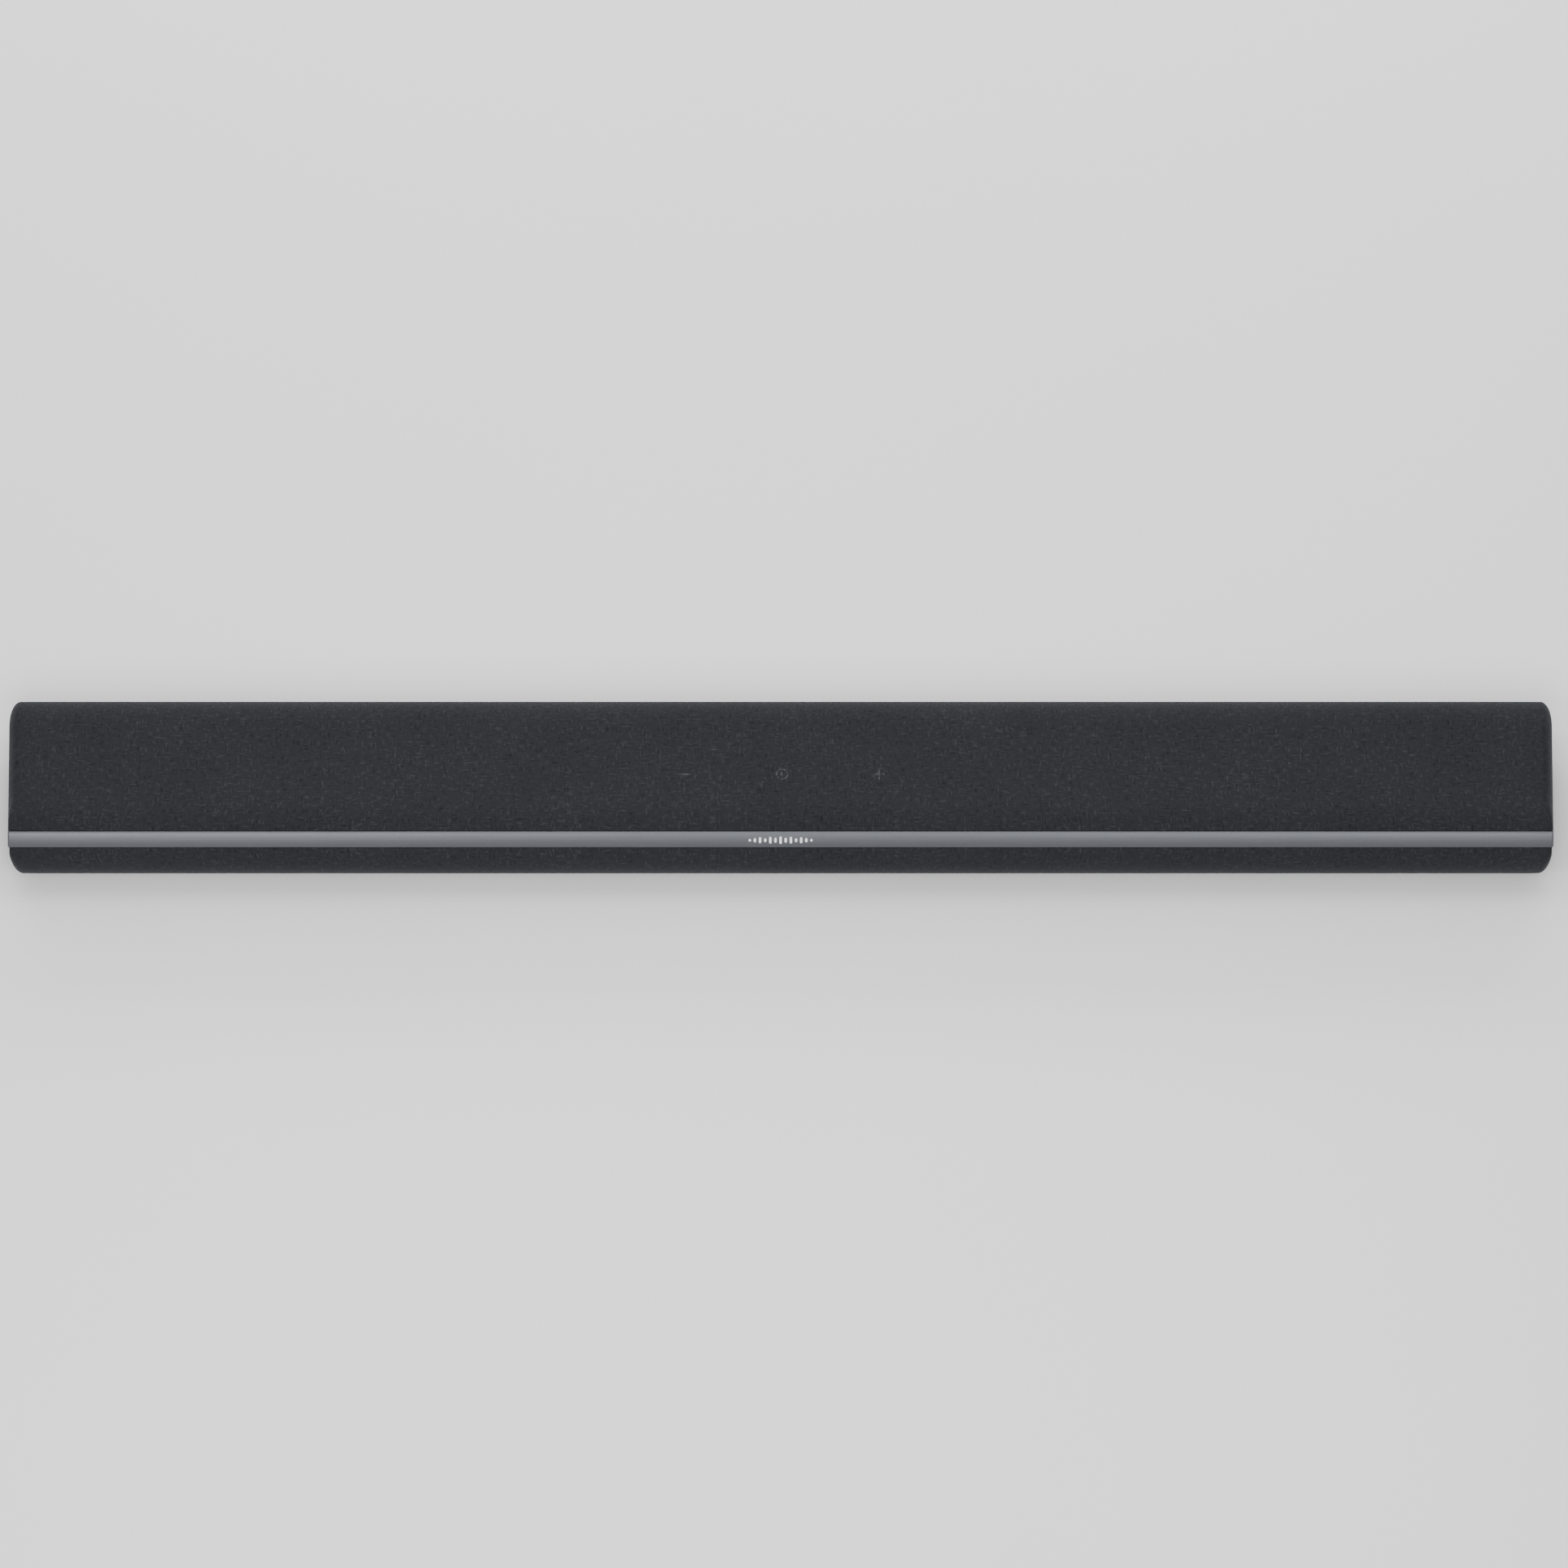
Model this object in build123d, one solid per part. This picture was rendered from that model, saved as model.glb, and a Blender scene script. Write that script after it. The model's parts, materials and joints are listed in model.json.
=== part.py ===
from build123d import *
import os
from math import cos, radians, sin, sqrt

# Table-top soundbar: two cloth-wrapped shells, parted on a tilted plane. A belt of bare
# housing runs round that plane between the two cloths; a metal trim strip fills it across
# the front and round both ends. Drivers, keys, electronics and connectors are inside.
# Millimetres. X runs along the bar, -Y is the front, +Z is up; the origin is under the
# middle of the bar on the surface that it stands on.

# ---- driving dimensions ----
LENGTH = 1050.0
DEPTH = 125.0
HEIGHT = 65.0
FOOT_HEIGHT = 2.0
CLOTH = 0.8
WALL = 2.5
PART_TILT = 22.4          # the parting plane falls towards the rear by this many degrees
TRIM_LOW = -5.4           # trim strip's edges, measured square to the parting plane
TRIM_HIGH = 4.95
TRIM_PROUD = 0.4
TRIM_BACK = 1.6           # depth of the trim's seat under the cloth's face
TRIM_ENDS_Y = 40.0        # the strip turns both ends of the bar and stops here

ROUND = (HEIGHT - FOOT_HEIGHT) / 2       # radius of the front and rear noses
NOSE_Y = DEPTH / 2 - ROUND               # distance of the noses' centres from the middle
MID_Z = FOOT_HEIGHT + ROUND
X_HALF = LENGTH / 2

# domed ends: (half length, how far the rounding runs along X, how far it runs inwards)
UPPER_END = (X_HALF, 8.0, 16.0)
LOWER_END = (X_HALF - 1.0, 10.0, 16.0)
TRIM_END = (X_HALF, 1.2, 1.2)

BAY_HALF = 160.0          # recessed connector bay in the rear
BAY_LOW = 15.0
BAY_HIGH = 47.0
BAY_WALL = 2.0
BAY_START_Y = 32.0        # the cheeks reach this far in, past the panel
PANEL_Y = 38.0
PANEL_T = 1.5

BAFFLE_Y = -43.0          # rear face is BAFFLE_Y + BAFFLE_T
BAFFLE_T = 3.0
DRIVER_Z = MID_Z
WOOFER_X = (-415.0, -300.0, 300.0, 415.0)
TWEETER_X = (-485.0, 485.0)
WOOFER_BACK_Y = -12.0
TWEETER_BACK_Y = -27.0

KEY_X = {"minus": -66.0, "source": 0.0, "plus": 66.0}
KEY_Y = -7.9
KEY_R = 11.0
KEY_TOP = HEIGHT - CLOTH

BOARD_T = 1.6
BOARD_Z = 18.0          # underside of both boards
SCREW_X = (-500.0, -360.0, -245.0, 245.0, 360.0, 500.0)
SCREW_Y = 18.0
BAFFLE_SCREW_X = (-450.0, -357.0, -180.0, 0.0, 180.0, 357.0, 450.0)
BAFFLE_SCREW_Z = 12.0
INSERT_X = (-250.0, 250.0)
INSERT_Y = 0.0
INSERT_BORE_R = 2.0
INSERT_R = 3.5
INSERT_LENGTH = 8.0
FOOT_X = 420.0
FOOT_Y = 20.0

os.makedirs("parts", exist_ok=True)
BELT = Plane(origin=(0, 0, MID_Z), x_dir=(1, 0, 0),
             z_dir=(0, sin(radians(PART_TILT)), cos(radians(PART_TILT))))
FAR = 80.0


# ---- helpers ----
def save(node, *shapes):
    """Write one node; several solids make a group."""
    solids = [solid for shape in shapes for solid in shape.solids()]
    shape = solids[0] if len(solids) == 1 else Compound(children=solids)
    shape.label = node
    export_step(shape, f"parts/{node}.step")


def block(x0, x1, y0, y1, z0, z1):
    """A box between two corners."""
    centre = Pos((x0 + x1) / 2, (y0 + y1) / 2, (z0 + z1) / 2)
    return centre * Box(abs(x1 - x0), abs(y1 - y0), abs(z1 - z0))


def rod(x, y, z, radius, length, along="z"):
    """A cylinder that starts at a point and runs along +Y or +Z."""
    turn = {"y": Rot(-90, 0, 0), "z": Rot(0, 0, 0)}[along]
    return Pos(x, y, z) * turn * Pos(0, 0, length / 2) * Cylinder(radius, length)


def pill(end, inset=0.0):
    """The bar's body: a stadium section whose ends are domed with an elliptical corner."""
    half, run_x, run_in = end
    half -= inset
    radius = ROUND - inset
    run_x = max(run_x - inset, 1.0)
    run_in = max(run_in - inset, 1.0)
    flat = radius - run_in
    side = half - run_x
    outline = Curve() + [
        Line((-half, 0), (-half, flat)),
        EllipticalCenterArc((-side, flat), run_x, run_in, 180, arc_size=-90),
        Line((-side, radius), (side, radius)),
        EllipticalCenterArc((side, flat), run_x, run_in, 90, arc_size=-90),
        Line((half, flat), (half, 0)),
        Line((half, 0), (-half, 0)),
    ]
    half_face = make_face(outline.edges())
    noses = []
    for sign in (-1, 1):
        centre = (0, sign * NOSE_Y, MID_Z)
        plane = Plane(origin=centre, x_dir=(1, 0, 0), z_dir=(0, -1, 0))
        axis = Axis(centre, (-sign, 0, 0))
        noses.append(revolve(plane * half_face, axis, 180))
    middle = Plane(origin=(0, NOSE_Y, MID_Z), x_dir=(1, 0, 0), z_dir=(0, -1, 0))
    upper_core = extrude(middle * half_face, 2 * NOSE_Y)
    lower_core = upper_core.mirror(Plane(origin=(0, 0, MID_Z), z_dir=(0, 0, 1)))
    return noses[0] + upper_core + lower_core + noses[1]


def slab(low, high):
    """The space between two planes that are parallel to the parting plane."""
    return BELT * Pos(0, 0, (low + high) / 2) * Box(1.2 * LENGTH, 2 * DEPTH, high - low)


def above(level):
    """Everything on the upper side of a plane parallel to the parting plane."""
    return slab(level, FAR)


def below(level):
    """Everything on the lower side of a plane parallel to the parting plane."""
    return slab(-FAR, level)


# ---- shells, cloth and trim ----
BELT_ZONE = slab(TRIM_LOW, TRIM_HIGH)
FRONT = block(-X_HALF - 2, X_HALF + 2, -DEPTH, TRIM_ENDS_Y, -HEIGHT, 2 * HEIGHT)
TRIM_ZONE = BELT_ZONE & FRONT
BAY_CUT = block(-BAY_HALF, BAY_HALF, BAY_START_Y, DEPTH, BAY_LOW, BAY_HIGH)
BASE_WINDOW = block(-X_HALF + 20, X_HALF - 20, -26, 26, 0, 8)
CORE = WALL + CLOTH


def trim_seat():
    """The groove that the trim strip fills, seen as the body that stays behind it."""
    upper = pill(UPPER_END, TRIM_BACK) & above(0)
    return upper + (pill(LOWER_END, TRIM_BACK) & below(0))


def make_shells():
    """Both housings and both cloths."""
    seat = trim_seat()
    trim_room = TRIM_ZONE - seat
    post_height = 30.0
    posts = [rod(x, SCREW_Y, 3.5, 4.5, post_height - 3.5) for x in SCREW_X]
    posts += [rod(x, INSERT_Y, 3.5, 6.0, INSERT_LENGTH + 1.5) for x in INSERT_X]
    hangers = [rod(x, SCREW_Y, post_height, 4.5, 63.0 - post_height) for x in SCREW_X]
    ribs = [block(x - 4, x + 4, BAFFLE_Y + BAFFLE_T, BAFFLE_Y + BAFFLE_T + 5, 3, 15)
            for x in BAFFLE_SCREW_X]

    lower_body = pill(LOWER_END, CLOTH) + (pill(LOWER_END) & (BASE_WINDOW + BELT_ZONE))
    lower = (lower_body - pill(LOWER_END, CORE)) & below(0)
    lower = lower + posts
    rib_solid = (Part() + ribs) & pill(LOWER_END, CORE - 0.5)
    lower = lower + rib_solid
    lower = lower - trim_room - BAY_CUT - sound_slots() - vent_slots()
    for x in SCREW_X:
        lower -= rod(x, SCREW_Y, -1, 1.7, post_height + 2)
        lower -= rod(x, SCREW_Y, -1, 3.2, 8.0)
    for x in INSERT_X:
        lower -= rod(x, INSERT_Y, -1, INSERT_R, 1 + FOOT_HEIGHT + INSERT_LENGTH)
    for x in BAFFLE_SCREW_X:
        lower -= rod(x, BAFFLE_Y, BAFFLE_SCREW_Z, 1.0, BAFFLE_T + 4.5, "y")
    save("lower_housing", lower)

    upper_body = pill(UPPER_END, CLOTH) + (pill(UPPER_END) & BELT_ZONE)
    upper = (upper_body - pill(UPPER_END, CORE)) & above(0)
    upper = upper + ((Part() + hangers) & pill(UPPER_END, CORE - 0.5))
    upper = upper - trim_room - BAY_CUT
    for x in SCREW_X:
        upper -= rod(x, SCREW_Y, post_height - 1, 1.25, 15)
    for x in KEY_X.values():
        upper -= rod(x, KEY_Y, 60, KEY_R + 0.3, 10)
    save("upper_housing", upper)

    cloth = (pill(UPPER_END) - pill(UPPER_END, CLOTH)) & above(TRIM_HIGH)
    save("upper_cloth", cloth - BAY_CUT)
    cloth = (pill(LOWER_END) - pill(LOWER_END, CLOTH)) & below(TRIM_LOW)
    save("lower_cloth", cloth - BASE_WINDOW)

    strip = (pill(TRIM_END) + nose_skin()) & TRIM_ZONE
    save("trim_band", strip - seat)


def nose_skin():
    """A rod along the front nose that lifts the strip's face proud of the cloth."""
    length = 2 * TRIM_END[0]
    nose = Rot(0, 90, 0) * Cylinder(ROUND + TRIM_PROUD, length)
    return Pos(0, -NOSE_Y, MID_Z) * nose


def sound_slots():
    """Rows of slots through the lower housing in front of every driver."""
    slots = Part()
    pitch = 7.0
    for x in WOOFER_X:
        for row in (-2, -1, 0, 1, 2):
            z = DRIVER_Z - 4 + row * pitch
            half = sqrt(24.0 ** 2 - (row * pitch) ** 2)
            slots += block(x - half, x + half, -DEPTH / 2 - 1, -44.0, z - 1.6, z + 1.6)
    for x in TWEETER_X:
        for row in (-1, 0, 1):
            z = DRIVER_Z - 4 + row * pitch
            half = sqrt(14.0 ** 2 - (row * pitch) ** 2)
            slots += block(x - half, x + half, -DEPTH / 2 - 1, -44.0, z - 1.6, z + 1.6)
    return slots


def vent_slots():
    """Cooling slots through the base, under the power supply and the amplifier."""
    slots = Part()
    for group_x in (-180.0, 90.0):
        for step in range(-4, 5):
            x = group_x + step * 7.0
            slots += block(x - 1.2, x + 1.2, -22, -8, 0, 8)
    return slots


def make_base():
    """Rubber feet, threaded inserts and the screws that close the shells."""
    feet = []
    for x in (-FOOT_X, FOOT_X):
        for y in (-FOOT_Y, FOOT_Y):
            pad = SlotOverall(70, 10)
            feet.append(Pos(x, y, 0) * extrude(pad, FOOT_HEIGHT))
    save("rubber_feet", *feet)
    inserts = []
    for x in INSERT_X:
        ring = rod(x, INSERT_Y, FOOT_HEIGHT, INSERT_R, INSERT_LENGTH)
        inserts.append(ring - rod(x, INSERT_Y, 0, INSERT_BORE_R, 20))
    save("wall_inserts", *inserts)
    screws = [rod(x, SCREW_Y, 4.6, 2.8, 2.4) + rod(x, SCREW_Y, 6.9, 1.25, 33.0)
              - rod(x, SCREW_Y, 4.0, 1.2, 1.8) for x in SCREW_X]
    save("housing_screws", *screws)


# ---- keys under the top cloth ----
def make_keys():
    """Three caps, the board under them and its switches; returns its spacers and screws."""
    flange_top = 61.6
    switch_top = 58.6
    board_top = 55.0
    for name, x in KEY_X.items():
        cap = rod(x, KEY_Y, 62.0 - 0.4, KEY_R, KEY_TOP - 61.6)
        cap = fillet(cap.edges().filter_by(GeomType.CIRCLE).group_by(Axis.Z)[-1], 0.4)
        cap += rod(x, KEY_Y, flange_top - 1.0, KEY_R + 1.4, 1.0)
        cap += rod(x, KEY_Y, switch_top - 1.2, 1.6, flange_top - switch_top + 0.4)
        save(f"key_{name}", cap)
    board = block(-90, 90, KEY_Y - 15, KEY_Y + 15, board_top - BOARD_T, board_top)
    for x in (-84.0, 84.0):
        board -= rod(x, KEY_Y, board_top - 3, 1.7, 6)
    save("key_board", board)
    switches = []
    for x in KEY_X.values():
        body = block(x - 3, x + 3, KEY_Y - 3, KEY_Y + 3, board_top, switch_top)
        switches.append(body - rod(x, KEY_Y, switch_top - 2.0, 1.8, 3))
    save("key_switches", *switches)
    carriers = []
    for x in (-84.0, 84.0):
        post = rod(x, KEY_Y, board_top, 3.5, KEY_TOP - WALL - board_top)
        carriers.append(post - rod(x, KEY_Y, board_top - 1, 1.25, 7))
    screws = [rod(x, KEY_Y, board_top - BOARD_T - 1.8, 2.6, 1.8)
              + rod(x, KEY_Y, board_top - BOARD_T, 1.25, 6) for x in (-84.0, 84.0)]
    return carriers, screws


# ---- drivers ----
def turned(profile, x):
    """Revolve an outline of (radius, y) points about a driver's axis."""
    plane = Plane(origin=(x, 0, DRIVER_Z), x_dir=(1, 0, 0), z_dir=(0, 0, 1))
    face = make_face(Polyline(*profile, close=True).edges())
    return revolve(plane * face, Axis((x, 0, DRIVER_Z), (0, 1, 0)), 360)


def make_baffle():
    """The board that carries the drivers, its screws and its foam seal."""
    back = BAFFLE_Y + BAFFLE_T
    inside = (pill(UPPER_END, CORE + 0.2) & above(0)) + (pill(LOWER_END, CORE + 0.2) & below(0))
    plate = block(-X_HALF + 8, X_HALF - 8, BAFFLE_Y, back, 0, HEIGHT) & inside
    for x in WOOFER_X:
        plate -= rod(x, BAFFLE_Y - 1, DRIVER_Z, 22.3, BAFFLE_T + 2, "y")
    for x in TWEETER_X:
        plate -= rod(x, BAFFLE_Y - 1, DRIVER_Z, 14.3, BAFFLE_T + 2, "y")
    for x in BAFFLE_SCREW_X:
        plate -= rod(x, BAFFLE_Y - 1, BAFFLE_SCREW_Z, 1.6, BAFFLE_T + 2, "y")
    save("front_baffle", plate)
    screws = [rod(x, BAFFLE_Y - 1.8, BAFFLE_SCREW_Z, 2.4, 1.8, "y")
              + rod(x, BAFFLE_Y, BAFFLE_SCREW_Z, 1.0, BAFFLE_T + 4.0, "y")
              for x in BAFFLE_SCREW_X]
    save("baffle_screws", *screws)


def make_woofer(index, x):
    """One 2-inch driver: basket, magnet, moving cone and the roll round the cone."""
    front = BAFFLE_Y - 2.0
    rim = BAFFLE_Y
    basket = turned([(19.6, front), (24.0, front), (24.0, rim), (22.0, rim), (22.0, -37.0),
                     (15.0, -24.0), (10.2, -24.0), (10.2, -25.5), (14.2, -25.5),
                     (20.5, -37.5), (20.5, rim), (19.6, rim)], x)
    save(f"woofer_{index}_basket", basket)
    magnet = turned([(10.2, -24.0), (18.0, -24.0), (18.0, WOOFER_BACK_Y), (0, WOOFER_BACK_Y), (0, -22.0),
                     (6.4, -22.0), (6.4, -14.0), (8.6, -14.0), (8.6, -22.5), (10.2, -22.5)], x)
    save(f"woofer_{index}_magnet", magnet)
    cone = turned([(0, -38.2), (4.0, -37.7), (8.0, -35.8), (16.8, -43.4), (17.0, -42.6),
                   (8.1, -34.6), (8.1, -18.5), (7.1, -18.5), (7.1, -35.0), (3.8, -36.8),
                   (0, -37.3)], x)
    save(f"woofer_{index}_cone", cone)
    roll = turned([(17.3, -43.3), (18.4, -44.6), (19.3, -43.3), (19.3, -42.7), (18.4, -43.9),
                   (17.3, -42.7)], x)
    save(f"woofer_{index}_surround", roll)


def make_tweeter(side, x):
    """One tweeter: faceplate, magnet and moving dome."""
    front = BAFFLE_Y - 2.0
    plate = turned([(10.6, front), (16.5, front), (16.5, BAFFLE_Y), (14.0, BAFFLE_Y),
                    (14.0, -38.0), (10.2, -38.0), (10.2, -43.6)], x)
    save(f"tweeter_{side}_faceplate", plate)
    magnet = turned([(0, -40.5), (7.4, -40.5), (7.4, -36.0), (9.4, -36.0), (9.4, -38.0),
                     (14.0, -38.0), (14.0, TWEETER_BACK_Y), (0, TWEETER_BACK_Y)], x)
    save(f"tweeter_{side}_magnet", magnet)
    dome = turned([(0, -45.2), (3.5, -44.7), (6.6, -43.2), (8.0, -42.0), (9.8, -42.6),
                   (9.8, -42.1), (8.8, -41.6), (8.8, -37.4), (7.9, -37.4), (7.9, -41.4),
                   (6.2, -42.6), (3.3, -44.1), (0, -44.6)], x)
    save(f"tweeter_{side}_dome", dome)


# ---- connector bay and its sockets ----
def make_bay():
    """The walls of the recess in the rear and the metal plate that holds the sockets."""
    outside = (pill(UPPER_END) & above(0)) + (pill(LOWER_END) & below(0))
    inner = BAY_HALF - BAY_WALL
    wall_y = PANEL_Y - BAY_WALL
    top = block(-inner, inner, wall_y, DEPTH, BAY_HIGH - BAY_WALL, BAY_HIGH)
    save("bay_roof", top & outside)
    bottom = block(-inner, inner, wall_y, DEPTH, BAY_LOW, BAY_LOW + BAY_WALL)
    save("bay_sill", bottom & outside)

    panel_screw_x = inner - 6.0
    middle_z = (BAY_LOW + BAY_HIGH) / 2
    cheeks = []
    screws = []
    low = BAY_LOW + BAY_WALL
    high = BAY_HIGH - BAY_WALL
    panel = block(-inner, inner, PANEL_Y, PANEL_Y + PANEL_T, low, high)
    for side in (-1, 1):
        x = side * panel_screw_x
        plate = block(side * inner, side * BAY_HALF, BAY_START_Y, DEPTH, BAY_LOW, BAY_HIGH)
        boss = block(side * (inner - 10), side * inner, BAY_START_Y, PANEL_Y,
                     middle_z - 5, middle_z + 5)
        cheeks.append(((plate & outside) + boss)
                      - rod(x, BAY_START_Y - 1, middle_z, 1.0, 8, "y"))
        panel -= rod(x, PANEL_Y - 1, middle_z, 1.5, 5, "y")
        screws.append(rod(x, PANEL_Y + PANEL_T, middle_z, 2.4, 1.6, "y")
                      + rod(x, PANEL_Y - 4, middle_z, 1.0, 4 + PANEL_T, "y"))
    save("bay_cheeks", *cheeks)
    for x0, x1, z0, z1 in SOCKET_HOLES:
        panel -= block(x0, x1, PANEL_Y - 1, PANEL_Y + PANEL_T + 1, z0, z1)
    save("io_panel", panel)
    save("io_panel_screws", *screws)


SOCKET_Z = 26.0
INLET_X = -125.0
HDMI_X = (20.0, 48.0)
OPTICAL_X = 72.0
AUX_X = 92.0
USB_X = 114.0
SOCKET_HOLES = [
    (INLET_X - 11.2, INLET_X + 11.2, SOCKET_Z - 6.5, SOCKET_Z + 6.5),
    (HDMI_X[0] - 8.2, HDMI_X[0] + 8.2, SOCKET_Z - 3.6, SOCKET_Z + 3.6),
    (HDMI_X[1] - 8.2, HDMI_X[1] + 8.2, SOCKET_Z - 3.6, SOCKET_Z + 3.6),
    (OPTICAL_X - 5.2, OPTICAL_X + 5.2, SOCKET_Z - 5.2, SOCKET_Z + 5.2),
    (AUX_X - 4.2, AUX_X + 4.2, SOCKET_Z - 4.2, SOCKET_Z + 4.2),
    (USB_X - 7.4, USB_X + 7.4, SOCKET_Z - 3.9, SOCKET_Z + 3.9),
]


def socket_body(x, half_w, half_h, depth, lip=1.0):
    """A connector's body: it reaches from behind the panel to just proud of it."""
    back = PANEL_Y - depth
    return block(x - half_w, x + half_w, back, PANEL_Y + PANEL_T + lip,
                 SOCKET_Z - half_h, SOCKET_Z + half_h)


def make_sockets():
    """Mains inlet, two video sockets, optical, analogue and service sockets."""
    face = PANEL_Y + PANEL_T + 1.0
    inlet = socket_body(INLET_X, 11.0, 6.3, 22)
    lobes = (rod(INLET_X - 4.2, face - 14, SOCKET_Z, 4.0, 16, "y")
             + rod(INLET_X + 4.2, face - 14, SOCKET_Z, 4.0, 16, "y")
             + block(INLET_X - 4.2, INLET_X + 4.2, face - 14, face + 2,
                     SOCKET_Z - 4.0, SOCKET_Z + 4.0))
    save("power_inlet", inlet - lobes)
    pins = [rod(INLET_X + side * 4.3, face - 14, SOCKET_Z, 1.2, 11, "y") for side in (-1, 1)]
    save("inlet_pins", *pins)
    for name, x in zip(("hdmi_in_socket", "hdmi_out_socket"), HDMI_X):
        shell = socket_body(x, 8.0, 3.4, 12)
        shell -= block(x - 7.1, x + 7.1, face - 11, face + 1, SOCKET_Z - 2.3, SOCKET_Z + 2.3)
        shell += block(x - 5.6, x + 5.6, face - 11.5, face - 2, SOCKET_Z - 0.4, SOCKET_Z + 1.4)
        save(name, shell)
    optical = socket_body(OPTICAL_X, 5.0, 5.0, 12)
    optical -= block(OPTICAL_X - 2.9, OPTICAL_X + 2.9, face - 9, face + 1,
                     SOCKET_Z - 2.9, SOCKET_Z + 2.9)
    save("optical_socket", optical)
    jack = socket_body(AUX_X, 4.0, 4.0, 12)
    jack += rod(AUX_X, face - 0.5, SOCKET_Z, 3.4, 1.3, "y")
    save("aux_jack", jack - rod(AUX_X, face - 13, SOCKET_Z, 1.8, 16, "y"))
    usb = socket_body(USB_X, 7.2, 3.7, 12)
    usb -= block(USB_X - 6.2, USB_X + 6.2, face - 10, face + 1, SOCKET_Z - 2.7, SOCKET_Z + 2.7)
    usb += block(USB_X - 5.4, USB_X + 5.4, face - 10.5, face - 1.5, SOCKET_Z + 0.2, SOCKET_Z + 2.0)
    save("usb_socket", usb)


# ---- electronics ----
def chip_row(x0, count, pitch, y, size, height, z):
    """Square packages in a row on a board."""
    return [block(x0 + i * pitch - size / 2, x0 + i * pitch + size / 2, y - size / 2,
                  y + size / 2, z, z + height) for i in range(count)]


def make_electronics(key_spacers, key_screws):
    """Main board, heatsink, power supply, radio, and every board's spacers and screws."""
    top = BOARD_Z + BOARD_T
    corners = [(-4.0, -24.0), (136.0, -24.0), (-4.0, 22.0), (136.0, 22.0)]
    board = block(-8, 140, -28, 34, BOARD_Z, BOARD_Z + BOARD_T)
    supply_corners = [(-226.0, -24.0), (-104.0, -24.0)]
    supply = block(-230, -100, -28, 31, BOARD_Z, BOARD_Z + BOARD_T)
    posts = []
    screws = []
    for x, y in corners + supply_corners:
        board -= rod(x, y, BOARD_Z - 1, 1.6, 4)
        supply -= rod(x, y, BOARD_Z - 1, 1.6, 4)
        posts.append(rod(x, y, FOOT_HEIGHT + CORE, 3.0, BOARD_Z - FOOT_HEIGHT - CORE)
                     - rod(x, y, BOARD_Z - 5, 1.0, 6))
        screws.append(rod(x, y, top, 2.4, 1.6) + rod(x, y, BOARD_Z - 4, 1.0, top - BOARD_Z + 4))
    save("main_board", board)
    save("power_supply_board", supply)
    save("board_spacers", *posts, *key_spacers)
    save("board_screws", *screws, *key_screws)
    save("board_chips", *chip_row(20, 3, 34, 4, 12, 1.4, top))

    sink = block(28, 110, -26, -10, top, top + 3)
    for step in range(11):
        x = 30 + step * 7.8
        sink += block(x - 0.8, x + 0.8, -26, -10, top + 3, top + 20)
    save("amp_heatsink", sink)
    cans = [rod(x, -18, top, 8, 30) for x in (-128.0, -146.0)]
    cans += [rod(x, 24 - 34, top, 5, 18) for x in (4.0, 16.0)]
    save("capacitors", *cans)
    core = block(-205, -170, -16, 16, top, top + 26)
    core -= block(-198, -177, -17, 17, top + 6, top + 20)
    core += block(-196.5, -178.5, -12, 12, top + 6, top + 20)
    save("transformer", core)
    save("wifi_module", block(108, 130, 12, 33, top, top + 2.2))


def wire(points, radius=0.9, bend=4.0):
    """A round lead along straight runs with rounded corners."""
    path = FilletPolyline(*points, radius=bend)
    start = Plane(origin=path @ 0, z_dir=path % 0)
    return sweep(start * Circle(radius), path=path)


def make_leads():
    """Leads from the amplifier to every driver, and damping pads in both chambers."""
    board_top = BOARD_Z + BOARD_T
    leads = []
    for index, x in enumerate(WOOFER_X + TWEETER_X):
        lane = -3.0 + 2.2 * index
        root_x = (120.0 if x > 0 else -1.0) + 2.6 * index
        lane_z = 47.0 + 2.2 * (index % 2)
        magnet_back = WOOFER_BACK_Y if x in WOOFER_X else TWEETER_BACK_Y
        plug_z = DRIVER_Z + 4
        leads.append(wire([(root_x, lane, board_top + 0.1), (root_x, lane, lane_z),
                           (x, lane, lane_z), (x, magnet_back + 12, lane_z - 4),
                           (x, magnet_back + 12, plug_z), (x, magnet_back + 0.1, plug_z)]))
    save("speaker_leads", *leads)
    pads = [block(side * 275, side * 480, 30, 46, 22, 42) for side in (-1, 1)]
    save("damping_pads", *pads)


make_shells()
make_base()
spacers_under_keys, screws_under_keys = make_keys()
make_baffle()
for number, woofer_x in enumerate(WOOFER_X, start=1):
    make_woofer(number, woofer_x)
for tweeter_side, tweeter_x in zip(("left", "right"), TWEETER_X):
    make_tweeter(tweeter_side, tweeter_x)
make_bay()
make_sockets()
make_electronics(spacers_under_keys, screws_under_keys)
make_leads()
print("nodes:", len(os.listdir("parts")))
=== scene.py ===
"""Looks of a cloth-wrapped soundbar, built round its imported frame.

Lengths are in metres. X runs along the bar, -Y is the front and +Z is up.
"""
import json
import logging
import math
from dataclasses import dataclass, field
from enum import Enum
from typing import Any

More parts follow.
